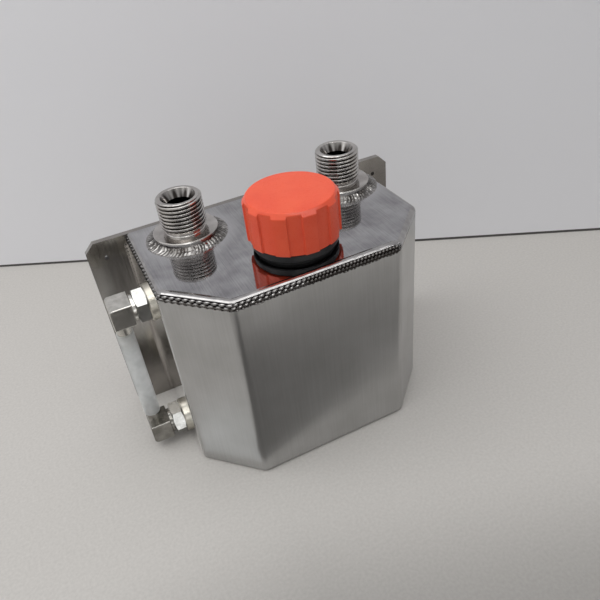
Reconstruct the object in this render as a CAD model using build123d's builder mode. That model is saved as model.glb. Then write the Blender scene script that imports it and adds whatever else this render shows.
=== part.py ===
"""Oil catch can: a folded and welded sheet tank with two breather unions, a screw filler and a sight gauge."""
import os
from math import hypot, pi, sqrt, tan

from build123d import *

os.makedirs("parts", exist_ok=True)

# Tank sizes in mm: +X to the right, +Y towards the mounting plate, +Z up
body_width = 125.5
body_depth = 81.2
body_height = 103.0
corner_leg = 24.0
bend_radius = 5.0
sheet = 2.5
plate = 3.0
base_round = 2.2
ear = 19.6
ear_clip = 4.5
pilot_radius = 1.0
pilot_inset = 11.0
pilot_margin = 9.0
fit_gap = 0.3

# Weld sizes
bead_toe = 4.4
bead_sink = 2.5
lid_inset = 2.2
seam_leg = 1.6
weld_gap = 0.8
bead_radius = hypot(bead_toe - bead_sink, bead_sink)
bead_proud = bead_radius - bead_sink

# Breather unions, male half-inch pipe thread with a coned mouth; the right one stands close to the corner weld
inlet_clear = 6.2
outlet_clear = 0.3
port_from_back = 18.4
thread_radius = 20.955 / 2
thread_length = 13.8
relief_radius = 9.0
relief_length = 2.6
shoulder_radius = 15.0
shoulder_height = 4.0
port_bore_radius = 5.8
mouth_radius = 8.0
spigot_radius = 8.7
spigot_length = 4.0
ring_weld_reach = 4.5
ring_weld_rise = 2.2

# Screw filler
filler_from_front = 27.0
filler_x = 1.9
filler_bore_radius = 11.5
filler_tail_radius = 14.6
filler_tail_length = 10.0
seal_radius = 17.4
seal_height = 1.7
flange_radius = 19.0
flange_height = 3.5
neck_radius = 16.4
neck_height = 14.8
bung_radius = 20.0
bung_height = 8.0

# Cap: ribs stand out from the recessed grip, and the chamfer round the top cuts both
cap_rib_radius = 20.5
cap_recess_radius = 19.6
cap_top_radius = 18.7
cap_chamfer_height = 2.2
cap_height = 19.5
cap_top_wall = 3.0
cap_ribs = 10
cap_rib_phase = -93.0
liner_height = 2.0

# Sight gauge on the left wall
gauge_from_front = 47.5
gauge_low = 11.0
gauge_drop = 18.0
gauge_hole_radius = 5.2
stem_radius = 4.86
washer_radius = 8.75
washer_height = 2.2
nut_flats = 15.0
nut_height = 5.4
nut_turn_high = 30.0
nut_turn_low = -3.0
elbow_gap = 1.5
shank_radius = 6.2
elbow_length = 10.2
elbow_depth = 13.0
elbow_height = 11.0
elbow_round = 2.0
elbow_edge = 0.5
elbow_bore_radius = 2.2
collar_radius = 3.4
collar_height = 6.0
tube_inset = 3.75
barb_length = 8.0
barb_radius = 2.95
barb_root_radius = 2.5
tube_radius = 4.0
tube_bore_radius = 3.2
boss_radius = 7.2
boss_length = 8.0

# Divider between the two unions
divider = 2.0
divider_low = 30.0
divider_clear = 2.0
divider_hole_radius = 4.0

half = body_width / 2
y_front = -(body_depth + plate - bead_proud) / 2
y_back = y_front + body_depth
lid_z = body_height - plate
port_y = y_back - port_from_back
port_left = -half + bead_toe + inlet_clear + shoulder_radius
port_right = half - bead_toe - outlet_clear - shoulder_radius
port_mid = (port_left + port_right) / 2
filler_y = y_front + filler_from_front
gauge_y = y_front + gauge_from_front
gauge_high = body_height - gauge_drop
gauge_mid = (gauge_low + gauge_high) / 2
seat_z = body_height + seal_height
flange_z = seat_z + flange_height
rim_z = flange_z + neck_height
cap_top_z = rim_z + liner_height + cap_top_wall
cap_low_z = cap_top_z - cap_height
nut_x = -half - washer_height - nut_height
elbow_x = nut_x - elbow_gap
tube_x = elbow_x - elbow_length + tube_inset


def outline(inset):
    """Corner points of the tank's plan, moved inwards by the inset, open at the back."""
    side = half - inset
    front = y_front + inset
    leg = corner_leg - inset * (2 - sqrt(2))
    return [
        (-side, y_back),
        (-side, front + leg),
        (-side + leg, front),
        (side - leg, front),
        (side, front + leg),
        (side, y_back),
    ]


def plan(inset):
    """The tank's plan as a face, with its four folds rounded."""
    points = outline(inset)
    with BuildSketch() as face:
        with BuildLine():
            FilletPolyline(*points, radius=bend_radius - inset)
            Line(points[-1], points[0])
        make_face()
    return face.sketch


def upright(x, y, z):
    """A plane for turned profiles: its x is the radius and its y is up."""
    return Plane(origin=(x, y, z), x_dir=(1, 0, 0), z_dir=(0, -1, 0))


def sideways(x, z):
    """A plane across the gauge stems, facing the tank."""
    return Plane(origin=(x, gauge_y, z), x_dir=(0, 1, 0), z_dir=(1, 0, 0))


# Folded wall: left side, chamfer, front, chamfer and right side from one sheet
with BuildPart() as body_shell:
    with BuildSketch(Plane.XY.offset(plate)):
        add(plan(0))
        add(plan(sheet), mode=Mode.SUBTRACT)
    extrude(amount=lid_z - plate)
    for z in (gauge_low, gauge_high):
        with BuildSketch(sideways(-half, z)):
            Circle(gauge_hole_radius)
        extrude(amount=sheet, mode=Mode.SUBTRACT)
body_shell.part.label = "body_shell"
export_step(body_shell.part, "parts/body_shell.step")

# Base: welded on and ground round
with BuildPart() as base_plate:
    with BuildSketch():
        add(plan(0))
    extrude(amount=plate)
    low_edges = base_plate.faces().sort_by(Axis.Z)[0].edges()
    fillet(low_edges.filter_by(lambda edge: edge.center().Y < y_back - 1), base_round)
base_plate.part.label = "base_plate"
export_step(base_plate.part, "parts/base_plate.step")

# Lid: rests on the inner edge of the folded wall
with BuildPart() as top_plate:
    with BuildSketch(Plane.XY.offset(lid_z)):
        add(plan(lid_inset))
        with Locations((port_left, port_y), (port_right, port_y)):
            Circle(spigot_radius + fit_gap, mode=Mode.SUBTRACT)
        with Locations((filler_x, filler_y)):
            Circle(filler_tail_radius + fit_gap, mode=Mode.SUBTRACT)
    extrude(amount=plate)
top_plate.part.label = "top_plate"
export_step(top_plate.part, "parts/top_plate.step")

# Back: wider than the tank, so that its edges are the mounting ears
with BuildPart() as back_plate:
    with BuildSketch(Plane.XZ.offset(-y_back - plate)) as back_face:
        with Locations((0, body_height / 2)):
            Rectangle(2 * (half + ear), body_height)
        chamfer(back_face.vertices(), ear_clip)
        pilot_z = body_height - 2 * pilot_margin
        with Locations((0, body_height / 2)):
            with GridLocations(2 * (half + pilot_inset), pilot_z, 2, 2):
                Circle(pilot_radius, mode=Mode.SUBTRACT)
    extrude(amount=plate)
back_plate.part.label = "back_plate"
export_step(back_plate.part, "parts/back_plate.step")

# Divider: hangs from the lid against the back, between the two unions
with BuildPart() as baffle_plate:
    divider_front = filler_y + bung_radius + divider_clear
    with BuildSketch(Plane.YZ.offset(port_mid - divider / 2)):
        with Locations(((divider_front + y_back) / 2, (divider_low + lid_z) / 2)):
            Rectangle(y_back - divider_front, lid_z - divider_low)
            with GridLocations(0, 3 * divider_hole_radius, 1, 4):
                Circle(divider_hole_radius, mode=Mode.SUBTRACT)
    extrude(amount=divider)
baffle_plate.part.label = "baffle_plate"
export_step(baffle_plate.part, "parts/baffle_plate.step")

# Corner weld round the lid: a convex bead that fills the step between lid and wall
with BuildPart() as top_seam_weld:
    with BuildLine(Plane.XY.offset(body_height)) as seam:
        FilletPolyline(*outline(0), radius=bend_radius)
    start = Plane(origin=(-half, y_back, body_height), x_dir=(1, 0, 0), z_dir=(0, -1, 0))
    with BuildSketch(start):
        crest = bead_sink - bead_radius / sqrt(2)
        with BuildLine():
            ThreePointArc((bead_toe, 0), (crest, -crest), (0, -bead_toe))
            Polyline((0, -bead_toe), (0, -plate), (lid_inset, -plate), (lid_inset, 0), (bead_toe, 0))
        make_face()
    sweep(path=seam.wires()[0])
top_seam_weld.part.label = "top_seam_weld"
export_step(top_seam_weld.part, "parts/top_seam_weld.step")

# Upright welds in the corners between the side walls and the ears
with BuildPart() as left_seam_weld:
    with BuildSketch(Plane.XY.offset(plate)):
        with BuildLine():
            Polyline((-half, y_back - seam_leg), (-half, y_back), (-half - seam_leg, y_back))
            mid = seam_leg * 0.42
            ThreePointArc(
                (-half - seam_leg, y_back),
                (-half - mid, y_back - mid),
                (-half, y_back - seam_leg),
            )
        make_face()
    extrude(amount=body_height - bead_toe - plate - fit_gap)
left_seam_weld.part.label = "left_seam_weld"
export_step(left_seam_weld.part, "parts/left_seam_weld.step")

with BuildPart() as right_seam_weld:
    mirror(left_seam_weld.part, about=Plane.YZ)
right_seam_weld.part.label = "right_seam_weld"
export_step(right_seam_weld.part, "parts/right_seam_weld.step")

# Breather union: shoulder, relief and thread in one turned piece, with a cone to seat a hose nut
union_plane = upright(port_left, port_y, body_height)
union_axis = Axis((port_left, port_y, 0), (0, 0, 1))
between_unions = Plane.YZ.offset(port_mid)
thread_z = shoulder_height + relief_length
union_top = thread_z + thread_length
cone_depth = (mouth_radius - port_bore_radius) * sqrt(3)
with BuildPart() as inlet_fitting:
    with BuildSketch(union_plane):
        with BuildLine():
            Polyline(
                (port_bore_radius, -spigot_length),
                (spigot_radius, -spigot_length),
                (spigot_radius, 0),
                (shoulder_radius, 0),
                (shoulder_radius, shoulder_height - 0.5),
                (shoulder_radius - 0.5, shoulder_height),
                (relief_radius, shoulder_height),
                (relief_radius, thread_z - 1),
                (thread_radius, thread_z),
                (thread_radius, union_top - 1),
                (thread_radius - 1, union_top),
                (mouth_radius, union_top),
                (port_bore_radius, union_top - cone_depth),
                close=True,
            )
        make_face()
    revolve(axis=union_axis)
inlet_fitting.part.label = "inlet_fitting"
export_step(inlet_fitting.part, "parts/inlet_fitting.step")

with BuildPart() as outlet_fitting:
    mirror(inlet_fitting.part, about=between_unions)
outlet_fitting.part.label = "outlet_fitting"
export_step(outlet_fitting.part, "parts/outlet_fitting.step")

# Ring weld at the foot of each union, cut short where it runs into the corner weld
def ring_weld(x):
    """Profile of a ring weld, as a face beside the union's axis."""
    toe = shoulder_radius + ring_weld_reach
    crown = (shoulder_radius + ring_weld_reach * 0.6, ring_weld_rise * 0.66)
    with BuildSketch(upright(x, port_y, body_height)) as face:
        with BuildLine():
            Polyline((shoulder_radius, ring_weld_rise), (shoulder_radius, 0), (toe, 0))
            ThreePointArc((toe, 0), crown, (shoulder_radius, ring_weld_rise))
        make_face()
    return face.sketch


def inside_seam():
    """The lid's plan inside the corner weld, as a face."""
    with BuildSketch(Plane.XY.offset(body_height)) as face:
        with BuildLine():
            Polyline(*outline(bead_toe + weld_gap), close=True)
        make_face()
    return face.sketch


with BuildPart() as inlet_weld:
    revolve(ring_weld(port_left), Axis((port_left, port_y, 0), (0, 0, 1)))
    extrude(inside_seam(), amount=ring_weld_rise, mode=Mode.INTERSECT)
inlet_weld.part.label = "inlet_weld"
export_step(inlet_weld.part, "parts/inlet_weld.step")

with BuildPart() as outlet_weld:
    revolve(ring_weld(port_right), Axis((port_right, port_y, 0), (0, 0, 1)))
    extrude(inside_seam(), amount=ring_weld_rise, mode=Mode.INTERSECT)
outlet_weld.part.label = "outlet_weld"
export_step(outlet_weld.part, "parts/outlet_weld.step")

# Filler: a threaded ring under the lid, a flat seal and the neck that screws through both
filler_axis = Axis((filler_x, filler_y, 0), (0, 0, 1))
with BuildPart() as neck_bung:
    with BuildSketch(Plane.XY.offset(lid_z - bung_height)):
        with Locations((filler_x, filler_y)):
            Circle(bung_radius)
            Circle(filler_tail_radius + fit_gap, mode=Mode.SUBTRACT)
    extrude(amount=bung_height)
neck_bung.part.label = "neck_bung"
export_step(neck_bung.part, "parts/neck_bung.step")

with BuildPart() as neck_seal:
    with BuildSketch(Plane.XY.offset(body_height)):
        with Locations((filler_x, filler_y)):
            Circle(seal_radius)
            Circle(filler_tail_radius + fit_gap, mode=Mode.SUBTRACT)
    extrude(amount=seal_height)
neck_seal.part.label = "neck_seal"
export_step(neck_seal.part, "parts/neck_seal.step")

with BuildPart() as filler_neck:
    with BuildSketch(upright(filler_x, filler_y, 0)):
        with BuildLine():
            Polyline(
                (filler_bore_radius, body_height - filler_tail_length),
                (filler_tail_radius - 0.6, body_height - filler_tail_length),
                (filler_tail_radius, body_height - filler_tail_length + 0.6),
                (filler_tail_radius, seat_z),
                (flange_radius - 0.4, seat_z),
                (flange_radius, seat_z + 0.4),
                (flange_radius, flange_z - 0.6),
                (flange_radius - 0.6, flange_z),
                (neck_radius, flange_z),
                (neck_radius, rim_z - 0.8),
                (neck_radius - 0.8, rim_z),
                (filler_bore_radius, rim_z),
                close=True,
            )
        make_face()
    revolve(axis=filler_axis)
filler_neck.part.label = "filler_neck"
export_step(filler_neck.part, "parts/filler_neck.step")

# Cap: castellated grip cut by a turned chamfer, so that the ribs end lower than the recesses
cap_bore_radius = neck_radius + 0.5
with BuildPart() as filler_cap:
    with BuildSketch(Plane(origin=(filler_x, filler_y, cap_low_z))):
        Circle(cap_rib_radius)
        with PolarLocations(0, cap_ribs, start_angle=cap_rib_phase + 180 / cap_ribs):
            reach = 2 * cap_rib_radius
            spread = reach * tan(pi / (2 * cap_ribs))
            Polygon((0, 0), (reach, -spread), (reach, spread), align=None, mode=Mode.SUBTRACT)
        Circle(cap_recess_radius)
    extrude(amount=cap_height)
    with BuildSketch(upright(filler_x, filler_y, 0)):
        with BuildLine():
            Polyline(
                (0, cap_low_z),
                (cap_rib_radius - 0.5, cap_low_z),
                (cap_rib_radius, cap_low_z + 0.5),
                (cap_rib_radius, cap_top_z - cap_chamfer_height),
                (cap_top_radius, cap_top_z),
                (0, cap_top_z),
                close=True,
            )
        make_face()
    revolve(axis=filler_axis, mode=Mode.INTERSECT)
    with BuildSketch(Plane(origin=(filler_x, filler_y, cap_low_z))):
        Circle(cap_bore_radius)
    extrude(amount=cap_height - cap_top_wall, mode=Mode.SUBTRACT)
filler_cap.part.label = "filler_cap"
export_step(filler_cap.part, "parts/filler_cap.step")

with BuildPart() as cap_liner:
    with BuildSketch(Plane(origin=(filler_x, filler_y, rim_z))):
        Circle(neck_radius)
    extrude(amount=liner_height)
cap_liner.part.label = "cap_liner"
export_step(cap_liner.part, "parts/cap_liner.step")

# Sight gauge, upper end: boss inside the wall, seal washer, lock nut and elbow
with BuildPart() as upper_boss:
    with BuildSketch(sideways(-half + sheet, gauge_high)):
        Circle(boss_radius)
        Circle(gauge_hole_radius, mode=Mode.SUBTRACT)
    extrude(amount=boss_length)
upper_boss.part.label = "upper_boss"
export_step(upper_boss.part, "parts/upper_boss.step")

with BuildPart() as upper_seal_washer:
    with BuildSketch(sideways(-half - washer_height, gauge_high)):
        Circle(washer_radius)
        Circle(gauge_hole_radius, mode=Mode.SUBTRACT)
    extrude(amount=washer_height)
    chamfer(upper_seal_washer.edges().group_by(Axis.X)[0].sort_by(SortBy.RADIUS)[-1], 0.5)
upper_seal_washer.part.label = "upper_seal_washer"
export_step(upper_seal_washer.part, "parts/upper_seal_washer.step")


def nut_chamfer(z):
    """The turned profile that takes the corners off a nut, as a face beside the stem's axis."""
    flat = nut_flats / 2
    point = nut_flats / sqrt(3)
    fall = (point - flat) * 0.45
    with BuildSketch(Plane(origin=(nut_x, gauge_y, z), x_dir=(1, 0, 0), z_dir=(0, -1, 0))) as face:
        with BuildLine():
            Polyline(
                (0, 0),
                (0, flat),
                (fall, point),
                (nut_height - fall, point),
                (nut_height, flat),
                (nut_height, 0),
                close=True,
            )
        make_face()
    return face.sketch


with BuildPart() as upper_lock_nut:
    with BuildSketch(sideways(nut_x, gauge_high)):
        RegularPolygon(nut_flats / 2, 6, major_radius=False, rotation=-nut_turn_high)
        Circle(gauge_hole_radius, mode=Mode.SUBTRACT)
    extrude(amount=nut_height)
    revolve(nut_chamfer(gauge_high), Axis((0, gauge_y, gauge_high), (1, 0, 0)), mode=Mode.INTERSECT)
upper_lock_nut.part.label = "upper_lock_nut"
export_step(upper_lock_nut.part, "parts/upper_lock_nut.step")

with BuildPart() as upper_elbow:
    with Locations((elbow_x - elbow_length / 2, gauge_y, gauge_high)):
        Box(elbow_length, elbow_depth, elbow_height)
    fillet(upper_elbow.faces().sort_by(Axis.X)[0].edges().sort_by(Axis.Z)[-1], elbow_round)
    fillet(upper_elbow.edges(), elbow_edge)
    with BuildSketch(sideways(elbow_x, gauge_high)):
        Circle(shank_radius)
    extrude(amount=elbow_gap - fit_gap)
    with BuildSketch(sideways(elbow_x, gauge_high)):
        Circle(stem_radius)
    extrude(amount=-half + sheet + boss_length - 1 - elbow_x)
    foot_z = gauge_high - elbow_height / 2
    barb_low = -collar_height - barb_length
    with BuildSketch(upright(tube_x, gauge_y, foot_z)):
        with BuildLine():
            Polyline(
                (0, 0),
                (collar_radius, 0),
                (collar_radius, -collar_height),
                (barb_root_radius, -collar_height),
                (barb_root_radius, barb_low * 0.5),
                (barb_radius, barb_low * 0.5 - 0.2),
                (barb_root_radius, barb_low * 0.75),
                (barb_radius, barb_low * 0.75 - 0.2),
                (barb_root_radius - 0.2, barb_low),
                (0, barb_low),
                close=True,
            )
        make_face()
    revolve(axis=Axis((tube_x, gauge_y, 0), (0, 0, 1)))
    with BuildSketch(sideways(tube_x, gauge_high)):
        Circle(elbow_bore_radius)
    extrude(amount=half, mode=Mode.SUBTRACT)
    with BuildSketch(Plane(origin=(tube_x, gauge_y, foot_z + barb_low))):
        Circle(elbow_bore_radius - 0.5)
    extrude(amount=gauge_high - foot_z - barb_low, mode=Mode.SUBTRACT)
upper_elbow.part.label = "upper_elbow"
export_step(upper_elbow.part, "parts/upper_elbow.step")

# Sight gauge, lower end: the same pieces the other way up
middle = Plane.XY.offset(gauge_mid)
with BuildPart() as lower_boss:
    mirror(upper_boss.part, about=middle)
lower_boss.part.label = "lower_boss"
export_step(lower_boss.part, "parts/lower_boss.step")

with BuildPart() as lower_seal_washer:
    mirror(upper_seal_washer.part, about=middle)
lower_seal_washer.part.label = "lower_seal_washer"
export_step(lower_seal_washer.part, "parts/lower_seal_washer.step")

with BuildPart() as lower_lock_nut:
    with BuildSketch(sideways(nut_x, gauge_low)):
        RegularPolygon(nut_flats / 2, 6, major_radius=False, rotation=-nut_turn_low)
        Circle(gauge_hole_radius, mode=Mode.SUBTRACT)
    extrude(amount=nut_height)
    revolve(nut_chamfer(gauge_low), Axis((0, gauge_y, gauge_low), (1, 0, 0)), mode=Mode.INTERSECT)
lower_lock_nut.part.label = "lower_lock_nut"
export_step(lower_lock_nut.part, "parts/lower_lock_nut.step")

with BuildPart() as lower_elbow:
    mirror(upper_elbow.part, about=middle)
lower_elbow.part.label = "lower_elbow"
export_step(lower_elbow.part, "parts/lower_elbow.step")

# Clear tube between the two elbows, pushed on until it meets the collars
with BuildPart() as sight_tube:
    tube_end = elbow_height / 2 + collar_height
    with BuildSketch(Plane(origin=(tube_x, gauge_y, gauge_low + tube_end))):
        Circle(tube_radius)
        Circle(tube_bore_radius, mode=Mode.SUBTRACT)
    extrude(amount=gauge_high - gauge_low - 2 * tube_end)
sight_tube.part.label = "sight_tube"
export_step(sight_tube.part, "parts/sight_tube.step")
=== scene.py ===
"""Looks of an oil catch can: welded sheet, threaded unions, a castellated cap and a sight gauge."""
from math import atan2, hypot, pi, sqrt, tan

import bmesh
import bpy
import numpy as np
from mathutils import Matrix, Vector


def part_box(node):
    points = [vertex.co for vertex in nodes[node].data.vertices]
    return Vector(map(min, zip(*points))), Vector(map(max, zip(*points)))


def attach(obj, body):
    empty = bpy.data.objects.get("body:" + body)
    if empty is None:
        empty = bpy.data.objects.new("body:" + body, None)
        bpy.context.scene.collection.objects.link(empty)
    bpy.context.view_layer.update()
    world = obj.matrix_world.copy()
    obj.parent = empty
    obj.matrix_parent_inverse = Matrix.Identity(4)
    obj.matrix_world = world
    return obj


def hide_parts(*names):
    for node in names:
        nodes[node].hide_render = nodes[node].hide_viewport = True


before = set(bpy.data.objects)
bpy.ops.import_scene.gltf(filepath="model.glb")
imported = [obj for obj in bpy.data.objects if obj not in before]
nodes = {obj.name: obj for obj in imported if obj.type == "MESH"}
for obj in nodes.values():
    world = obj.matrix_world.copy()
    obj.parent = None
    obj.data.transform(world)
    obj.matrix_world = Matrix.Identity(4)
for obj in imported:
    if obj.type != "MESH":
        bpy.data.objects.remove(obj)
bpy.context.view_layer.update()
MM = 0.001
rng = np.random.default_rng(11)


def middle(node):
    """Centre of a CAD node's box, in mm."""
    low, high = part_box(node)
    return (np.array(low) + np.array(high)) / 2 / MM


def edge(node, side):
    """Lowest (0) or highest (1) corner of a CAD node's box, in mm."""
    return np.array(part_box(node)[side]) / MM


# Materials

# Values between which most of a noise lies, its middle part, and most of two noises multiplied
NOISE, NOISE_MIDDLE, NOISE_TWICE = (0.3, 0.7), (0.35, 0.65), (0.12, 0.42)
# Tones that lie over a metal in places: buffed, scoured, painted shade in grooves, and painted
# shade in a drilled hole
BUFFED, SCOURED, SHADE_AND_SOOT, HOLE_SHADE = "#f2f2f2", "#d6d6d8", "#3a3633", "#2c2927"


def linear(code):
    """An sRGB hex colour as linear red, green, blue and alpha."""
    c = np.array([int(code[i : i + 2], 16) for i in (1, 3, 5)]) / 255
    c = np.where(c <= 0.04045, c / 12.92, ((c + 0.055) / 1.055) ** 2.4)
    return (*c.tolist(), 1.0)


def add(tree, kind, inputs=None, **settings):
    """Adds a shader node. Settings are its options; inputs are values, or outputs to link from."""
    made = tree.nodes.new(kind)
    for key, value in settings.items():
        setattr(made, key, value)
    for socket, value in (inputs or {}).items():
        if isinstance(value, bpy.types.NodeSocket):
            tree.links.new(value, made.inputs[socket])
        else:
            made.inputs[socket].default_value = value
    return made


def blank(name):
    """A new material, its node tree, its output node and its object coordinates."""
    made = bpy.data.materials.new(name)
    made.use_nodes = True
    made.node_tree.nodes.clear()
    out = add(made.node_tree, "ShaderNodeOutputMaterial")
    where = add(made.node_tree, "ShaderNodeTexCoord").outputs["Object"]
    return made, made.node_tree, out, where


def distance(tree, where, centre, offset, plane):
    """How far a place is, in a plane, from the nearest of some points set evenly about a centre.

    Absolute values about the centre fold the points into one, which lies at the offset.
    """
    away = add(tree, "ShaderNodeVectorMath", {0: where, 1: centre}, operation="SUBTRACT")
    away = add(tree, "ShaderNodeVectorMath", {0: away.outputs[0]}, operation="ABSOLUTE")
    away = add(tree, "ShaderNodeVectorMath", {0: away.outputs[0], 1: offset}, operation="SUBTRACT")
    away = add(tree, "ShaderNodeVectorMath", {0: away.outputs[0], 1: plane}, operation="MULTIPLY")
    away = add(tree, "ShaderNodeVectorMath", {0: away.outputs[0]}, operation="LENGTH")
    return away.outputs["Value"]


def metal(
    name,
    light,
    dark,
    rough,
    grain,
    turn=(0, 0, 0),
    smudge=8.0,
    bump=0.02,
    streak=0.0,
    flank=None,
    scoured=None,
    roots=False,
    drilled=None,
    lathe=0.0,
):
    """A metal whose grain is noise drawn out along one direction.

    Grain gives the size of a mark along each axis in mm, turned by the angles given, and bump its
    depth. Smudge is the size of the dull patches in mm: they darken the metal, and with the grain
    they spread its gloss. Streak is how far the grain darkens it too. Further out along X than
    flank, in mm, the metal is buffed and shows images. Scoured is the X and Y midway between two
    rings, half their spacing along X, and the radii between which the brushing round them fades
    out, in mm. With roots set, the piece's own attribute paints shade into its grooves and hollows,
    and on the ring welds makes some ripples sooty at random. Drilled is half the spacing along X,
    the middle height, half the spacing along Z and the radius of four holes, in mm, whose insides
    are painted dark as shade. Lathe is how far turning marks round the upright axis draw out the
    highlights.
    """
    made, tree, out, where = blank(name)
    sizes = [1 / (v * MM) for v in grain]
    drawn = add(tree, "ShaderNodeMapping", {"Vector": where, "Rotation": turn, "Scale": sizes})
    fine = {"Vector": drawn.outputs[0], "Scale": 1.0, "Detail": 3.0}
    lines = add(tree, "ShaderNodeTexNoise", fine).outputs[0]
    broad = {"Vector": where, "Scale": 1 / (smudge * MM), "Detail": 4.0}
    patch = add(tree, "ShaderNodeTexNoise", broad).outputs[0]
    worn = add(tree, "ShaderNodeMath", {0: lines, 1: patch}, operation="MULTIPLY").outputs[0]
    low, high = NOISE_TWICE
    spread = {0: worn, 1: low, 2: high, 3: rough[0], 4: rough[1]}
    gloss = add(tree, "ShaderNodeMapRange", spread).outputs[0]
    marks = add(tree, "ShaderNodeMix", {0: streak, 2: patch, 3: lines}).outputs[0]
    tone = add(tree, "ShaderNodeValToRGB", {"Fac": marks})
    for stop, at, code in zip(tone.color_ramp.elements, NOISE_MIDDLE, (light, dark)):
        stop.position, stop.color = at, linear(code)

    over = []
    if flank:
        # The buffing sets in over 0.4 mm and leaves about a third of the roughness
        onset, left = 0.4, 0.35
        x = add(tree, "ShaderNodeSeparateXYZ", {0: where}).outputs["X"]
        out_by = add(tree, "ShaderNodeMath", {0: x}, operation="ABSOLUTE").outputs[0]
        ends = {0: out_by, 1: (flank - onset) * MM, 2: flank * MM}
        buffed = add(tree, "ShaderNodeMapRange", ends).outputs[0]
        sheen = add(tree, "ShaderNodeMapRange", {0: buffed, 3: 1.0, 4: left}).outputs[0]
        gloss = add(tree, "ShaderNodeMath", {0: gloss, 1: sheen}, operation="MULTIPLY").outputs[0]
        over.append((buffed, BUFFED))
    if scoured:
        # The brushing adds to the roughness, by about an eighth in the middle of a patch
        dulling = 0.25
        x, y, span, inner, outer = (v * MM for v in scoured)
        away = distance(tree, where, (x, y, 0), (span, 0, 0), (1, 1, 0))
        ends = {0: away, 1: inner, 2: outer, 3: 1.0, 4: 0.0}
        near = add(tree, "ShaderNodeMapRange", ends).outputs[0]
        haze = add(tree, "ShaderNodeMath", {0: near, 1: patch}, operation="MULTIPLY").outputs[0]
        dulled = {0: haze, 1: dulling, 2: gloss}
        gloss = add(tree, "ShaderNodeMath", dulled, operation="MULTIPLY_ADD").outputs[0]
        over.append((haze, SCOURED))
    if roots:
        # Painted shade in the grooves and hollows, by the piece's own attribute; on the ring welds
        # some ripples are also sooty at random
        deep = add(tree, "ShaderNodeAttribute", attribute_name="hollow").outputs["Fac"]
        over.append((deep, SHADE_AND_SOOT))
    if drilled:
        # Painted shade inside the pilot holes
        x, mid, z, size = (v * MM for v in drilled)
        away = distance(tree, where, (0, 0, mid), (x, 0, z), (1, 0, 1))
        within = add(tree, "ShaderNodeMath", {0: away, 1: size}, operation="LESS_THAN").outputs[0]
        over.append((within, HOLE_SHADE))
    colour = tone.outputs[0]
    for share, code in over:
        both = {0: share, 6: colour, 7: linear(code)}
        colour = add(tree, "ShaderNodeMix", both, data_type="RGBA").outputs[2]

    surface = {"Base Color": colour, "Metallic": 1.0, "Roughness": gloss}
    body = add(tree, "ShaderNodeBsdfPrincipled", surface)
    if lathe:
        round_z = add(tree, "ShaderNodeTangent", direction_type="RADIAL", axis="Z")
        body.inputs["Anisotropic"].default_value = lathe
        tree.links.new(round_z.outputs[0], body.inputs["Tangent"])
    if bump:
        height = {"Height": lines, "Strength": 1.0, "Distance": bump * MM}
        relief = add(tree, "ShaderNodeBump", height)
        tree.links.new(relief.outputs[0], body.inputs["Normal"])
    tree.links.new(body.outputs[0], out.inputs[0])
    return made


def moulded(name, light, dark, rough, grain, bump=0.01, inside=0.0, depth=1.0, shine=0.5):
    """A moulded or pressed material: fine even grain, and soft patches of tone 25 times as large.

    Grain is the size of the grain and bump its depth, in mm. Inside is the share of light that is
    carried inside, and depth how far its red goes there, in mm; green and blue go less far. Shine
    is the strength of the gloss.
    """
    made, tree, out, where = blank(name)
    patches, green, blue = 25, 0.35, 0.2
    even = {"Vector": where, "Scale": 1 / (grain * MM), "Detail": 2.0}
    fine = add(tree, "ShaderNodeTexNoise", even).outputs[0]
    soft = {"Vector": where, "Scale": 1 / (patches * grain * MM), "Detail": 3.0}
    patch = add(tree, "ShaderNodeTexNoise", soft).outputs[0]
    tone = add(tree, "ShaderNodeValToRGB", {"Fac": patch})
    for stop, at, code in zip(tone.color_ramp.elements, NOISE, (light, dark)):
        stop.position, stop.color = at, linear(code)
    spread = {0: fine, 1: NOISE[0], 2: NOISE[1], 3: rough[0], 4: rough[1]}
    gloss = add(tree, "ShaderNodeMapRange", spread)
    surface = {
        "Base Color": tone.outputs[0],
        "Roughness": gloss.outputs[0],
        "Specular IOR Level": shine,
        "Subsurface Weight": inside,
        "Subsurface Radius": (depth * MM, green * depth * MM, blue * depth * MM),
    }
    body = add(tree, "ShaderNodeBsdfPrincipled", surface)
    if bump:
        height = {"Height": fine, "Strength": 1.0, "Distance": bump * MM}
        relief = add(tree, "ShaderNodeBump", height)
        tree.links.new(relief.outputs[0], body.inputs["Normal"])
    tree.links.new(body.outputs[0], out.inputs[0])
    return made


def milky_tube():
    """Milky polyurethane: each wall lets some light straight through, and scatters the rest.

    Two fifths of what is scattered goes on forwards. Patches some 5 mm across are cloudier.
    """
    made, tree, out, where = blank("milky polyurethane tube")
    patch, clear, cloudy, forwards, milk = 5.5, 0.40, 0.52, 0.4, linear("#f6f8f8")
    noise = {"Vector": where, "Scale": 1 / (patch * MM), "Detail": 2.0}
    cloud = add(tree, "ShaderNodeTexNoise", noise).outputs[0]
    spread = {0: cloud, 1: NOISE[0], 2: NOISE[1], 3: clear, 4: cloudy}
    share = add(tree, "ShaderNodeMapRange", spread).outputs[0]
    back = add(tree, "ShaderNodeBsdfPrincipled", {"Base Color": milk, "Roughness": 0.3}).outputs[0]
    on = add(tree, "ShaderNodeBsdfTranslucent", {"Color": milk}).outputs[0]
    scattered = add(tree, "ShaderNodeMixShader", {0: forwards, 1: back, 2: on}).outputs[0]
    through = add(tree, "ShaderNodeBsdfTransparent").outputs[0]
    wall = add(tree, "ShaderNodeMixShader", {0: share, 1: through, 2: scattered})
    tree.links.new(wall.outputs[0], out.inputs[0])
    return made


# Wire brushing round the unions: its middle, half spacing, and the radii where it fades out
inlet, outlet = middle("inlet_fitting"), middle("outlet_fitting")
brushed = ((inlet[0] + outlet[0]) / 2, inlet[1], (outlet[0] - inlet[0]) / 2, 18.0, 27.0)
# Pilot holes: half spacing across, middle height, half spacing up and radius
holes = (73.75, 51.5, 42.5, 1.04)

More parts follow.
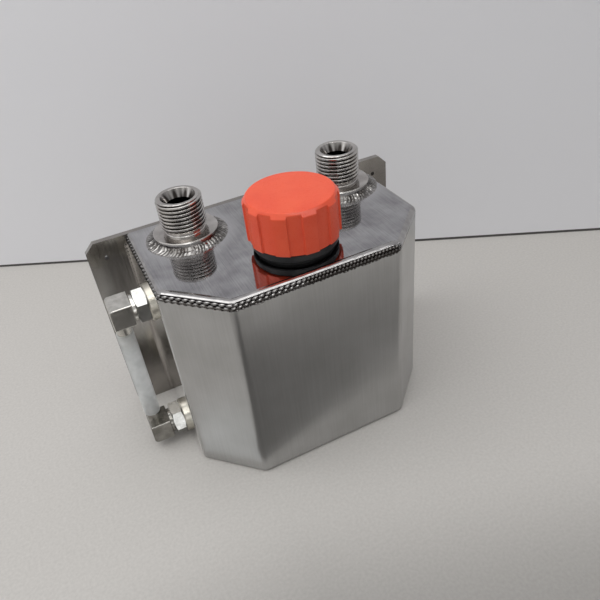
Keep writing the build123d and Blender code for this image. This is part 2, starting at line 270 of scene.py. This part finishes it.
# Lid: buffed almost to a mirror, so that it doubles the unions and the cap, with wiping marks
lid_sheet = metal(
    "polished aluminium lid",
    "#bcbcbe",
    "#919093",
    (0.03, 0.12),
    (0.5, 14, 0.5),
    (0, 0, 0.5),
    smudge=10,
    bump=0.001,
    streak=0.4,
    scoured=brushed,
)
# Folded wall: satin with a faint upright grain, so that it shows tones and no images; its two
# sides are buffed. The real grain is near a tenth of a millimetre and is drawn coarser to show
wall_sheet = metal(
    "satin aluminium sheet",
    "#c2c2c2",
    "#b2b2b1",
    (0.28, 0.32),
    (0.7, 0.7, 30),
    smudge=28,
    bump=0.0,
    streak=0.3,
    flank=62.7,
)
# Back plate: mill finish with darker rubbed patches, and pilot holes painted dark inside as shade
back_sheet = metal(
    "mill finish aluminium plate",
    "#aca8a3",
    "#8e8a86",
    (0.16, 0.27),
    (1.1, 1.1, 17),
    smudge=22,
    bump=0.002,
    drilled=holes,
)
# Inner plates: plain rolled sheet, dull
inner_sheet = metal(
    "rolled aluminium sheet", "#b9b9b9", "#9f9f9f", (0.35, 0.5), (17, 0.7, 0.7), bump=0.004
)
# Corner weld: bright on the crown and on each scale where it froze, with painted shade between them
weld_metal = metal(
    "aluminium weld metal",
    "#bab8b7",
    "#a5a3a2",
    (0.06, 0.16),
    (1.1, 1.1, 1.1),
    smudge=3.3,
    bump=0.004,
    roots=True,
)
# Ring welds: the same metal with a duller skin, with painted shade between the ripples and under
# the shoulder, and some ripples sooty at random
ring_metal = metal(
    "brushed aluminium weld metal",
    "#b8b6b4",
    "#85827f",
    (0.08, 0.2),
    (0.9, 0.9, 0.9),
    smudge=1.7,
    roots=True,
)
# Hidden rings and bosses: alloy with fine tool marks
turned_alloy = metal(
    "turned aluminium alloy", "#c6c0b9", "#9b948d", (0.28, 0.38), (5, 5, 0.2), bump=0.003
)
# Unions: the same alloy cut by a die, with painted shade in the roots of the thread and down the
# mouth's cone, so that the crests stay brighter
threaded_alloy = metal(
    "threaded aluminium alloy",
    "#cfccc9",
    "#aca8a5",
    (0.10, 0.20),
    (5, 5, 0.2),
    bump=0.002,
    roots=True,
    lathe=0.6,
)
# Upper elbow: nickel on brass, bright with a slight yellow cast
nickel = metal(
    "nickel plated brass",
    "#dddbd5",
    "#c0beb8",
    (0.16, 0.27),
    (1.4, 1.4, 1.4),
    smudge=3.8,
    bump=0.001,
)
# Lower elbow: the same plate darkened with painted shade, which takes most of its brightness
shaded_nickel = metal(
    "nickel plated brass with painted shade",
    "#a3a19c",
    "#807e78",
    (0.16, 0.27),
    (1.4, 1.4, 1.4),
    smudge=3.8,
    bump=0.001,
)
# Nuts: bright zinc, nearly white under the light
zinc = metal(
    "bright zinc plated steel",
    "#d0d0cd",
    "#b9b9b5",
    (0.18, 0.27),
    (0.8, 3.3, 3.3),
    smudge=3.3,
    bump=0.004,
)
# Washers: thin yellow zinc, satin
yellow_zinc = metal(
    "yellow zinc plated steel",
    "#d8d4c9",
    "#bdb8ac",
    (0.30, 0.42),
    (2, 2, 2),
    smudge=4,
    bump=0.003,
)
# Cap: bright orange polypropylene with a fine satin skin that glows a little
orange = moulded(
    "orange polypropylene",
    "#f2603f",
    "#ec5638",
    (0.26, 0.36),
    0.38,
    bump=0.008,
    inside=0.12,
    depth=1.2,
    shine=0.4,
)
# Neck: black nylon, satin
nylon = moulded("black nylon", "#191919", "#121213", (0.34, 0.5), 0.45)
# Seals: matt black rubber
rubber = moulded("black rubber", "#131313", "#0d0d0d", (0.6, 0.8), 0.55)
# Sight tube: cloudy and soft, so that it is a pale bar before the plate
tube_plastic = milky_tube()

finish = {
    "body_shell": wall_sheet,
    "base_plate": wall_sheet,
    "top_plate": lid_sheet,
    "back_plate": back_sheet,
    "baffle_plate": inner_sheet,
    "neck_bung": turned_alloy,
    "upper_boss": turned_alloy,
    "lower_boss": turned_alloy,
    "neck_seal": rubber,
    "cap_liner": rubber,
    "upper_elbow": nickel,
    "lower_elbow": shaded_nickel,
    "upper_lock_nut": zinc,
    "lower_lock_nut": zinc,
    "upper_seal_washer": yellow_zinc,
    "lower_seal_washer": yellow_zinc,
    "sight_tube": tube_plastic,
}
for name, surface in finish.items():
    nodes[name].data.materials.clear()
    nodes[name].data.materials.append(surface)


# Shapes


def skin(name, grid, surface, node, body="can", around=True, crisp=0.6, hollow=None):
    """A mesh over a grid of points in mm that stands for a CAD node.

    The second direction of the grid is closed, and so is the first when around is set. Points that
    fall together, such as a pole or a drawn-in end, become one. Edges that turn by more than crisp
    radians stay sharp. Hollow is an optional number for each point, 0 on the surface to 1 in a
    groove, kept as an attribute; the material paints shade by it, and on the ring welds some sooty
    ripples.
    """
    rows, columns = grid.shape[:2]
    index = np.arange(rows * columns).reshape(rows, columns)
    index = np.hstack([index, index[:, :1]])
    if around:
        index = np.vstack([index, index[:1]])
    corners = [index[:-1, :-1], index[1:, :-1], index[1:, 1:], index[:-1, 1:]]
    quads = np.stack(corners, axis=-1)
    mesh = bpy.data.meshes.new(name)
    mesh.vertices.add(rows * columns)
    mesh.vertices.foreach_set("co", (grid * MM).ravel())
    mesh.loops.add(quads.size)
    mesh.loops.foreach_set("vertex_index", quads.ravel())
    mesh.polygons.add(quads.size // 4)
    mesh.polygons.foreach_set("loop_start", np.arange(0, quads.size, 4))
    mesh.update(calc_edges=True)
    if hollow is not None:
        kept = mesh.attributes.new("hollow", "FLOAT", "POINT")
        kept.data.foreach_set("value", hollow.ravel())
    work = bmesh.new()
    work.from_mesh(mesh)
    bmesh.ops.remove_doubles(work, verts=work.verts, dist=1e-7)
    bmesh.ops.recalc_face_normals(work, faces=work.faces)
    work.to_mesh(mesh)
    work.free()
    mesh.polygons.foreach_set("use_smooth", np.ones(len(mesh.polygons), bool))
    mesh.set_sharp_from_angle(angle=crisp)
    mesh.materials.append(surface)
    made = bpy.data.objects.new(name, mesh)
    bpy.context.scene.collection.objects.link(made)
    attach(made, body)
    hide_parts(node)


# A spacing longer than any run of a profile, which puts no row of points along it
BARE = 30


def traced(*corners):
    """A closed profile. Each corner is a radius, a height and the spacing up to the next corner.

    A point stands close to each end of a run longer than half a millimetre, so that the corners
    stay crisp when the faces are shaded smooth.
    """
    close, short = 0.06, 0.5
    runs = []
    for (r, z, step), (r_next, z_next, _) in zip(corners, corners[1:] + corners[:1]):
        length = hypot(r_next - r, z_next - z)
        share = np.linspace(0, 1, max(1, round(length / step)), endpoint=False)
        if length > short:
            share = np.unique(np.concatenate([share, [close / length, 1 - close / length]]))
        runs.append(np.array([r, z]) + share[:, None] * np.array([r_next - r, z_next - z]))
    return np.concatenate(runs)


def turned(centre, profile, steps, pitch, crest, depth, foot):
    """Points of a profile carried round an upright axis, and how deep each is in the thread.

    Above its foot the thread holds the radius under crest - depth * cut. Along a helix of the given
    pitch the cut goes from 0 on the broad crest to 1 in the narrow root and back, as half a cosine
    wave. The depth returned is the square of the cut, 1 in the root.
    """
    half_crest, flank = 0.3, 0.65
    angle = np.linspace(0, 2 * pi, steps, endpoint=False)[:, None]
    radius, height = profile[None, :, 0], profile[None, :, 1] + 0 * angle
    v = np.abs(2 * ((height / pitch - angle / (2 * pi)) % 1) - 1)
    cut = 0.5 - 0.5 * np.cos(pi * np.clip((v - half_crest) / flank, 0, 1))
    cut = np.where(height > foot, np.clip(radius - crest + depth * cut, 0, depth), 0)
    radius = radius - cut
    x, y = centre[0] + radius * np.cos(angle), centre[1] + radius * np.sin(angle)
    return np.stack([x, y, height], axis=-1), (cut / depth) ** 2


def smooth(x, low, high):
    """0 below low, 1 above high and an even S between them."""
    t = np.clip((x - low) / (high - low), 0, 1)
    return t * t * (3 - 2 * t)


def wander(s, spacing, size):
    """A slow random drift along s: random values every so often, joined smoothly."""
    knots = np.arange(s.min() - spacing, s.max() + 2 * spacing, spacing)
    values = rng.uniform(-size, size, len(knots))
    place = (s - knots[0]) / spacing
    i = np.floor(place).astype(int)
    onward = values[np.minimum(i + 1, len(knots) - 1)] - values[i]
    return values[i] + onward * smooth(place - i, 0, 1)


lid_z = edge("top_plate", 1)[2]
half = edge("body_shell", 1)[0]
y_front, y_back = edge("body_shell", 0)[1], edge("body_shell", 1)[1]

# Unions: shoulder, relief, half-inch pipe thread and coned mouth, as turned
union_top = edge("inlet_fitting", 1)[2]
union_bore, union_mouth, union_shoulder, union_steps = 5.8, 7.9, 15.0, 160
thread, thread_pitch, thread_depth = 10.4775, 1.814, 1.1
union_profile = traced(
    (union_bore, lid_z - 4, BARE),
    (8.7, lid_z - 4, BARE),
    (8.7, lid_z, BARE),
    (union_shoulder, lid_z, BARE),
    (union_shoulder, lid_z + 3.6, 0.2),
    (14.6, lid_z + 4, BARE),
    (9.3, lid_z + 4, 0.15),
    (9.0, lid_z + 4.3, BARE),
    (9.0, lid_z + 5.4, 0.07),
    (thread, lid_z + 6.8, 0.07),
    (thread, union_top - 0.9, 0.07),
    (9.6, union_top, 0.2),
    (8.2, union_top, 0.1),
    (union_mouth, union_top - 0.15, 0.4),
    (union_bore, union_top - 3.8, BARE),
)
# Painted shade darkens the mouth's cone towards the bore, in uneven spokes that paint the streaked
# reflections of a turned cone
spoke = np.linspace(0, 2 * pi, union_steps, endpoint=False)[:, None]
radius = union_profile[:, 0]
mouth = np.where(radius < 8.0, 0.3 + 0.32 * (union_mouth - radius), 0)
mouth = np.clip(mouth * (1 + 0.55 * np.sin(9 * spoke) + 0.45 * np.sin(16 * spoke + 2)), 0, 1)
for side in ("inlet", "outlet"):
    node = f"{side}_fitting"
    points, root = turned(
        middle(node), union_profile, union_steps, thread_pitch, thread, thread_depth, lid_z + 4.5
    )
    # The thread's roots and the mouth's cone take painted shade through this attribute
    dark = np.maximum(root, mouth)
    skin(f"{side}_union", points, threaded_alloy, node, crisp=1.4, hollow=dark)

# Filler neck: flange, and a coarse thread under the cap
neck_low, neck_top = edge("filler_neck", 0)[2], edge("filler_neck", 1)[2]
neck_bore, neck_thread, neck_pitch, neck_depth, neck_steps = 11.5, 16.4, 4.0, 1.0, 128
neck_profile = traced(
    (neck_bore, neck_low, BARE),
    (14.0, neck_low, BARE),
    (14.6, neck_low + 0.6, BARE),
    (14.6, lid_z + 1.7, BARE),
    (18.6, lid_z + 1.7, 0.2),
    (19.0, lid_z + 2.1, BARE),
    (19.0, lid_z + 4.6, 0.2),
    (18.4, lid_z + 5.2, BARE),
    (neck_thread, lid_z + 5.2, 0.25),
    (neck_thread, neck_top - 0.8, 0.2),
    (15.6, neck_top, BARE),
    (neck_bore, neck_top, BARE),
)
points, _ = turned(
    middle("filler_neck"),
    neck_profile,
    neck_steps,
    neck_pitch,
    neck_thread,
    neck_depth,
    lid_z + 6.2,
)
skin("threaded_neck", points, nylon, "filler_neck")


def castellated_cap():
    """Points of the cap: a turned profile whose wall follows the ribs.

    Round the cap the wall radius steps between recess and rib over a third of a millimetre. The
    profile then holds it under the chamfers at foot and top, with a soft corner where they meet.
    """
    centre, low, top = middle("filler_cap"), edge("filler_cap", 0)[2], edge("filler_cap", 1)[2]
    ribs, first_rib, recess, proud, arm, flank = 10, np.radians(-93), 19.6, 0.9, 20, 0.18
    pitch = 2 * pi / ribs
    near = np.array([-0.5, -0.3, -flank, -0.06, 0.06, flank, 0.3, 0.5]) / arm
    rib = [near - pitch / 4, np.linspace(-0.17, 0.17, 6) * pitch, near + pitch / 4]
    step = np.concatenate([*rib, np.linspace(0.33, 0.67, 6) * pitch])
    angle = (first_rib + pitch * np.arange(ribs)[:, None] + step[None]).reshape(-1, 1)
    inward = pitch / 4 - np.abs((angle - first_rib + pitch / 2) % pitch - pitch / 2)
    wall = recess + proud * smooth(inward * arm, -flank, flank)

    # Heights of the rows: close at the foot's chamfer and at the top's, wide between them
    rise = [np.linspace(0, 0.8, 6), np.linspace(2, 16.2, 10), np.linspace(16.6, 19.3, 22)]
    rise = np.concatenate(rise) + low
    hold = np.minimum(20.25 + (rise - low), 18.7 + (top - rise) * 1.8 / 2.2)[None]
    mixed = np.clip(0.5 + (hold - wall) / 0.5, 0, 1)
    outer = hold + (wall - hold) * mixed - 0.25 * mixed * (1 - mixed)

    # The inside goes before these rows, and the top's round edge and flat face come after them
    inner = np.tile([0.0, 16.4, 16.9, 16.9, 17.2], (len(angle), 1))
    inner_z = [top - 3, top - 3, top - 3.5, low + 0.3, low]
    face = np.tile([18.72, 18.5, 18.2, 14.0, 7.0, 0.0], (len(angle), 1))
    face_z = top - np.array([0.08, 0.02, 0, 0, 0, 0])
    radius = np.hstack([inner, outer, face])
    height = np.concatenate([inner_z, rise, face_z])[None] + 0 * angle
    x, y = centre[0] + radius * np.cos(angle), centre[1] + radius * np.sin(angle)
    return np.stack([x, y, height], axis=-1)


skin("ribbed_cap", castellated_cap(), orange, "filler_cap", "cap", crisp=1.2)


def along(path, side, inset, rise):
    """Points of a bead: each row of its profile stands on the path, inset sideways and raised."""
    flat = path[:, None, :2] + side[:, None, :] * inset[..., None]
    return np.concatenate([flat, (path[:, 2:] + rise)[..., None]], axis=-1)


def drawn_in(grid):
    """The same points with both ends drawn together to a point, which closes the bead."""
    first, last = 0 * grid[:1] + grid[0].mean(0), 0 * grid[-1:] + grid[-1].mean(0)
    return np.concatenate([first, grid, last])


def corner_bead():
    """Points of the corner weld round the lid, and how dark each is: painted shade between scales.

    The path runs down the left side, round the front and up the right side: its heading is constant
    on the flats and turns evenly on the five millimetre folds, and its place is the running sum of
    the heading. The crown is an arc across the corner, which runs out evenly on the lid. Above, it
    is smooth. Below, rows of scales stand on it: each scale is a cosine bump along the path and
    across its row, and the rows are set half a pitch apart. The pitch is three millimetres on the
    left. A third of the way along the front it shrinks and the scales are darkened all but their
    tops, up to a crater at the front right corner, after which the bead is ground smooth.
    """
    leg, bend, quarter = 24.0, 5.0, pi / 4
    lost = bend * tan(quarter / 2)
    flats = [y_back - y_front - leg - lost, leg * sqrt(2) - 2 * lost, 2 * (half - leg) - 2 * lost]
    flats = flats + flats[1::-1]
    runs = [flats[0]] + [length for flat in flats[1:] for length in (bend * quarter, flat)]
    knots = np.concatenate([[0], np.cumsum(runs)])
    turns = np.repeat(np.arange(-2, 3), 2) * quarter
    s = np.linspace(0, knots[-1], 1750)
    heading = np.interp(s, knots, turns)
    mid = (heading[1:] + heading[:-1]) / 2
    ds = s[1] - s[0]
    x = -half + np.concatenate([[0], np.cumsum(np.cos(mid))]) * ds
    y = y_back + np.concatenate([[0], np.cumsum(np.sin(mid))]) * ds
    path = np.stack([x, y, np.full_like(s, lid_z)], axis=-1)
    inward = np.stack([-np.sin(heading), np.cos(heading)], axis=-1)

    # Section: an arc about a point sunk under the lid; share is the way along it, from lid to wall
    toe, sink = 4.4, 2.5
    crown = hypot(toe - sink, sink)
    first = atan2(sink, toe - sink)
    bend_angle = np.linspace(first, 3 * pi / 2 - first, 44)[None]
    share = (bend_angle - first) / (3 * pi / 2 - 2 * first)

    # Pitch and depth of the scales and height of the arc at the start and end of each run
    slower = knots[4] + 26, knots[4] + 31
    pitches = [2.8, 3.0, 3.2, 3.2, 2.9, 2.7, 1.8] + 5 * [1.7]
    pitch = np.interp(s, [*knots[:5], *slower, *knots[5:]], pitches)
    depth = np.interp(s, knots, [0.45, 0.45, 0.40, 0.40, 0.40, 0.30, 0, 0, 0, 0])[:, None]
    height = np.interp(s, knots, [2.5, 2.5, 2.9, crown, crown, crown, 2.5, 2.5, 2.5, 2.5])[:, None]

    # Scales, slanted across their rows, and a slight unevenness
    first_row, row_width, slant, uneven = 0.47, 0.17, 0.35, 0.04
    place = (np.cumsum(ds / pitch) + wander(s, 7.0, 0.16))[:, None]
    rows = (share - first_row) / row_width
    row = np.floor(rows)
    across = 0.5 - 0.5 * np.cos(2 * pi * rows)
    scale = across * (0.5 + 0.5 * np.cos(2 * pi * (place + 0.5 * row + slant * (rows - row))))
    worked = smooth(share, 0.42, 0.52) * (1 - smooth(share, 0.94, 1.0))
    reach = height - depth * worked * (1 - scale)
    reach = reach - (wander(s, 2.2, uneven) + uneven)[:, None] * (depth > 0.1)

    # Crater: a dip with a low hump in its middle
    pit, pit_share, pit_length, pit_width = knots[5] + 1.0, 0.55, 1.5, 0.22
    far = ((s[:, None] - pit) / pit_length) ** 2 + ((share - pit_share) / pit_width) ** 2
    reach = reach - np.exp(-far * 1.2) * smooth(far, -0.4, 0.9)

    # Before the top of the arc the section is a slope that runs out on the lid
    inset = sink + reach * np.cos(bend_angle)
    rise = -sink + reach * np.sin(bend_angle)
    slope = (pi / 2 - bend_angle) / (pi / 2 - first)
    inset = np.where(slope > 0, sink + slope * (toe - sink), inset)
    run_out = (reach - sink) * (1 - smooth(slope, 0, 1)) - 0.02 * slope
    rise = np.where(slope > 0, run_out, rise)

    # Painted shade lies between the scales, in narrower lines on the left, and over the small ones
    # the bead is darkened all but the tops
    narrow = np.interp(s, knots[3:5], [2.0, 0.7])[:, None]
    between = 0.9 * (1 - scale) ** narrow
    covered = (1 - 0.5 * scale**2) * smooth(s, *slower)[:, None]
    darkened = worked * smooth(depth, 0, 0.3) * np.maximum(between, covered)

    # Three points inside the wall and under the lid close the section
    flat = np.ones((len(s), 1))
    inset = np.hstack([inset, 0 * flat, 2.2 * flat, 2.2 * flat])
    rise = np.hstack([rise, -3 * flat, -3 * flat, -0.4 * flat])
    darkened = np.hstack([darkened, 0 * flat, 0 * flat, 0 * flat])
    return drawn_in(along(path, inward, inset, rise)), np.vstack([darkened[:1], darkened, darkened[-1:]])


points, dark = corner_bead()
skin(
    "rippled_corner_weld",
    points,
    weld_metal,
    "top_seam_weld",
    around=False,
    crisp=1.3,
    hollow=dark,
)


def ring_bead(centre):
    """Points of the weld at a union's foot, and how dark each is: painted shade in ripples and by
    the shoulder.

    Its section falls in a hollow curve from the shoulder to the lid. Narrow ripples fan out, each
    of its own depth and soot and swept back towards the toe, lumps stand on them at random near
    the shoulder, and the toe wanders in and out. All of these come back to their start round the
    ring.
    """
    count, each, inner, width, tall = 66, 9, 14.95, 4.35, 2.05
    angle = np.linspace(0, 2 * pi, count * each, endpoint=False)
    arc = 16 * angle
    out = np.linspace(0, 1, 20)[None]
    hold = np.minimum(1, 6 * np.sin(angle / 2) ** 2)
    place = (angle * count / (2 * pi) + hold * wander(arc, 3.0, 0.45))[:, None]
    place = place + 1.6 * (out - 0.2) ** 2
    ripple = np.floor(place).astype(int) % count
    scoop = rng.uniform(0.2, 1.3, count)[ripple] * (2 * (place % 1) - 1) ** 2
    lumps = (hold * wander(arc, 1.1, 1.0))[:, None] * np.sin(2 * pi * out) * (1 - out)
    lumps = lumps + (hold * wander(arc, 0.8, 1.0))[:, None] * np.sin(4 * pi * out) * (1 - out)
    reach = width + (hold * wander(arc, 3.5, 0.18))[:, None]
    inset = inner + (reach - 0.3 * scoop) * out
    rise = tall * (1 - out) ** 1.25 - 0.36 * scoop * np.sin(pi * out**0.7) ** 0.7 + 0.26 * lumps
    sooty = rng.uniform(-0.25, 0.5, count)[ripple]
    # Painted shade in each ripple's hollow and under the shoulder, with some ripples sooty at
    # random
    dark = (0.9 * scoop + sooty) * np.sin(pi * out) ** 0.5 + 0.75 * (1 - out) ** 3

    # One point inside the shoulder closes the section
    flat = np.ones((len(angle), 1))
    inset = np.hstack([inset, 14.5 * flat])
    rise = np.hstack([np.clip(rise, 0, 2.2), 0 * flat])
    dark = np.hstack([np.clip(dark, 0, 1), 0 * flat])
    path = np.tile([*centre[:2], lid_z], (len(angle), 1))
    outward = np.stack([np.cos(angle), np.sin(angle)], axis=-1)
    return along(path, outward, inset, rise), dark


for side in ("inlet", "outlet"):
    points, dark = ring_bead(middle(f"{side}_fitting"))
    name, node = f"{side}_ring_weld", f"{side}_weld"
    skin(name, points, ring_metal, node, crisp=1.3, hollow=dark)


def upright_bead(sign):
    """Points of the weld in the corner between a side wall and an ear: a shallow rippled fillet.

    Its section is a hollow curve from wall to ear, scooped a little deeper in each ripple.
    """
    pitch, size, scooped, curve = 1.9, 1.55, 0.3, 1.3
    low, top = edge("left_seam_weld", 0)[2], edge("left_seam_weld", 1)[2]
    z = np.linspace(low, top, 480)
    across = np.linspace(0, pi / 2, 9)[None]
    place = z[:, None] / pitch + wander(z, 6.0, 0.2)[:, None] + 0.5 * np.sin(2 * across)
    scoop = (2 * (place % 1) - 1) ** 2
    reach = size - scooped * np.sin(2 * across) * (0.6 + scoop)
    flat = np.ones((len(z), 1))
    x = np.hstack([reach * np.cos(across) ** curve, 0 * flat])
    y = np.hstack([reach * np.sin(across) ** curve, 0 * flat])
    return drawn_in(np.stack([sign * (half + x), y_back - y, z[:, None] + 0 * x], axis=-1))


for side, sign in (("left", -1), ("right", 1)):
    name, node = f"{side}_upright_weld", f"{side}_seam_weld"
    skin(name, upright_bead(sign), back_sheet, node, around=False, crisp=1.3)


# Stage


def board(name, corners, surface):
    """A flat four-cornered piece of the stage, in mm."""
    mesh = bpy.data.meshes.new(name)
    mesh.from_pydata([tuple(v * MM for v in p) for p in corners], [], [(0, 1, 2, 3)])
    mesh.materials.append(surface)
    made = bpy.data.objects.new(name, mesh)
    bpy.context.scene.collection.objects.link(made)
    return made


def lying(height, *corners):
    """Four corners of a board that lies flat at a height, in mm."""
    return [(x, y, height) for x, y in corners]


def faded(made):
    """Darkens the table's material towards the front, on a slant, where less light reaches it."""
    corner, lean, far, near, dim = -40 * MM, 0.35, -150 * MM, -70 * MM, 0.62
    tree = made.node_tree
    body = next(node for node in tree.nodes if node.type == "BSDF_PRINCIPLED")
    colour = body.inputs["Base Color"].links[0].from_socket
    where = add(tree, "ShaderNodeTexCoord").outputs["Object"]
    place = add(tree, "ShaderNodeSeparateXYZ", {0: where}).outputs
    beside = add(tree, "ShaderNodeMath", {0: place["X"], 1: corner}, operation="MAXIMUM").outputs[0]
    leaning = {0: beside, 1: lean, 2: place["Y"]}
    slant = add(tree, "ShaderNodeMath", leaning, operation="MULTIPLY_ADD").outputs[0]
    ends = {0: slant, 1: far, 2: near, 3: dim, 4: 1.0}
    left = add(tree, "ShaderNodeMapRange", ends, interpolation_type="SMOOTHSTEP").outputs[0]
    dimmed = add(tree, "ShaderNodeVectorMath", {0: colour, "Scale": left}, operation="SCALE")
    tree.links.new(dimmed.outputs[0], body.inputs["Base Color"])
    return made


def one_sided_wall():
    """Pale painted wall, seen from its front only, with painted shade along its foot at the joint.
    """
    made, tree, out, where = blank("pale painted wall")
    span, shaded_foot = 20 * MM, 0.09
    height = add(tree, "ShaderNodeSeparateXYZ", {0: where}).outputs["Z"]
    share = add(tree, "ShaderNodeMapRange", {0: height, 2: span}).outputs[0]
    tone = add(tree, "ShaderNodeValToRGB", {"Fac": share})
    tone.color_ramp.interpolation = "CONSTANT"
    for stop, at, code in zip(tone.color_ramp.elements, (0.0, shaded_foot), ("#5a5857", "#ededf0")):
        stop.position, stop.color = at, linear(code)
    paint = add(tree, "ShaderNodeBsdfDiffuse", {"Color": tone.outputs[0]}).outputs[0]
    nothing = add(tree, "ShaderNodeBsdfTransparent").outputs[0]
    behind = add(tree, "ShaderNodeNewGeometry").outputs["Backfacing"]
    both = add(tree, "ShaderNodeMixShader", {0: behind, 1: paint, 2: nothing})
    tree.links.new(both.outputs[0], out.inputs[0])
    return made


def shaded_card():
    """Matt card of painted shade, from dark on the far left to middle grey on the right and towards
    the can.
    """
    made, tree, out, where = blank("painted shade card")
    lean, dark_end, grey_end = 1.2, -240 * MM, 40 * MM
    place = add(tree, "ShaderNodeSeparateXYZ", {0: where}).outputs
    leaning = {0: place["Y"], 1: lean, 2: place["X"]}
    slant = add(tree, "ShaderNodeMath", leaning, operation="MULTIPLY_ADD").outputs[0]
    share = add(tree, "ShaderNodeMapRange", {0: slant, 1: dark_end, 2: grey_end}).outputs[0]
    tone = add(tree, "ShaderNodeValToRGB", {"Fac": share})
    for stop, code in zip(tone.color_ramp.elements, ("#4d4b4a", "#a5a3a0")):
        stop.color = linear(code)
    matt = add(tree, "ShaderNodeBsdfDiffuse", {"Color": tone.outputs[0]})
    tree.links.new(matt.outputs[0], out.inputs[0])
    return made


def lit_panel(name, strength):
    """A diffusing panel lit from behind, uneven by 15 % over patches some 170 mm across."""
    made, tree, out, where = blank(name)
    patch, weak, strong = 170, 0.85 * strength, 1.15 * strength
    noise = {"Vector": where, "Scale": 1 / (patch * MM)}
    drift = add(tree, "ShaderNodeTexNoise", noise).outputs[0]
    spread = {0: drift, 1: NOISE[0], 2: NOISE[1], 3: weak, 4: strong}
    glow = add(tree, "ShaderNodeMapRange", spread).outputs[0]
    lit = add(tree, "ShaderNodeEmission", {"Strength": glow})
    tree.links.new(lit.outputs[0], out.inputs[0])
    return made


# Table: pale matt laminate with a slight mottle, and painted shade towards the front where the
# light falls off
laminate = "#cdcac6", "#c4c1bd", (0.5, 0.62), 0.055, 0.0
table_top = faded(moulded("pale laminate table", *laminate, shine=0.0))
span = 3000
board("table", lying(0, (-span, -span), (span, -span), (span, span), (-span, span)), table_top)

# The wall crosses the picture a little behind the can, turned to face the camera
behind, lean, reach = 167.8, 0.541, 1500
left, right = (-reach, behind + lean * reach), (reach, behind - lean * reach)
wall = [(*left, 0), (*right, 0), (*right, reach), (*left, reach)]
board("wall", wall, one_sided_wall())

# Cards, screens and panels that are seen only in reflections, where they make up the room. The
# cards lie a little above the table, each at its own height
screen_cloth = moulded("black screen cloth", "#1c1c1c", "#151515", (0.8, 0.9), 3.3)
laminate_sheet = moulded("pale laminate sheet", *laminate, shine=0.0)
painted_light_card = moulded("painted light card", "#e8e8e6", "#e0e0de", (0.8, 0.9), 0.5)
room = (
    # Before the can: painted shade on the table, which the front panel shows as its dark middle
    # band
    ("card", lying(0.8, (-120, -150), (300, -150), (300, -149), (-54, -43.5)), shaded_card()),
    # Further out: the dark line down the upper part of the left fold
    ("dark_card", lying(0.9, (-28, -200), (-28, -152), (-78, -140), (-95, -200)), screen_cloth),
    # Beyond the picture: the light top of the front panel
    (
        "front_sheet",
        lying(0.6, (-300, -480), (600, -480), (600, -150), (-300, -150)),
        laminate_sheet,
    ),
    # At the left chamfer's foot: painted light on the table, so that that wall stays light down to
    # the table
    ("light_pool", lying(0.7, (-44, -44), (-68, -18), (-100, -26), (-78, -53)), painted_light_card),
    # In front and on the left: the dark side of the room in the bright metal
    (
        "front_screen",
        [(0, -480, 0), (0, -480, 300), (700, -480, 300), (700, -480, 0)],
        screen_cloth,
    ),
    (
        "left_screen",
        [(-500, 60, 0), (-500, 60, 300), (-500, -480, 300), (-500, -480, 0)],
        screen_cloth,
    ),
    # Beside the front screen: the lower nut's bright flat
    (
        "panel",
        [(-140, -480, 30), (-140, -480, 190), (0, -480, 190), (0, -480, 30)],
        lit_panel("lit panel", 1.6),
    ),
    # High in front: the highlights on the rims, the bead and the cap's chamfer
    (
        "strip",
        lying(800, (-300, -640), (-300, -480), (700, -480), (700, -640)),
        lit_panel("lit strip", 6.0),
    ),
)
for name, corners, surface in room:
    piece = board(name, corners, surface)
    for ray in ("camera", "diffuse", "transmission", "volume_scatter", "shadow"):
        setattr(piece, f"visible_{ray}", False)

# Sky: a soft grey that grows lighter upwards
world = bpy.data.worlds.new("studio")
bpy.context.scene.world = world
world.use_nodes = True
world.node_tree.nodes.clear()
toward = add(world.node_tree, "ShaderNodeTexCoord").outputs["Generated"]
up = add(world.node_tree, "ShaderNodeSeparateXYZ", {0: toward}).outputs["Z"]
sky = add(world.node_tree, "ShaderNodeValToRGB", {"Fac": up})
sky.color_ramp.elements.new(0.3)
sky.color_ramp.elements[2].position = 0.8
for stop, code in zip(sky.color_ramp.elements, ("#a9a9ab", "#c0c0c2", "#cfcfcd")):
    stop.color = linear(code)
glow = {"Color": sky.outputs[0], "Strength": 0.935}
light = add(world.node_tree, "ShaderNodeBackground", glow)
add(world.node_tree, "ShaderNodeOutputWorld", {"Surface": light.outputs[0]})

# Lamps: place and width in mm, and watts. Both point at the middle of the can
aim = Vector((0, 0, 60 * MM))
lamps = (
    ("ceiling lamp", (-60, 90, 640), 720, 2.5),
    ("side lamp", (-800, 60, 650), 1200, 2.2),
)
for name, place, width, watts in lamps:
    lamp = bpy.data.lights.new(name, "AREA")
    lamp.size, lamp.energy = width * MM, watts
    made = bpy.data.objects.new(name, lamp)
    bpy.context.scene.collection.objects.link(made)
    made.location = Vector(place) * MM
    made.rotation_mode = "QUATERNION"
    made.rotation_quaternion = (aim - made.location).to_track_quat("-Z", "Y")

# Camera, solved from the tank's corners in the photograph
eye = bpy.data.cameras.new("camera")
eye.sensor_width, eye.lens = 36.0, 36.08
camera = bpy.data.objects.new("camera", eye)
bpy.context.scene.collection.objects.link(camera)
to_right = (0.894801, -0.435289, -0.099274)
to_top = (0.334195, 0.505577, 0.795428)
to_back = (-0.296050, -0.744926, 0.597862)
place = (-82.907 * MM, -224.580 * MM, 240.315 * MM)
rows = [(*turn, at) for turn, at in zip(zip(to_right, to_top, to_back), place)]
camera.matrix_world = Matrix(rows + [(0, 0, 0, 1)])
bpy.context.scene.camera = camera
bpy.context.scene.view_settings.view_transform = "Standard"
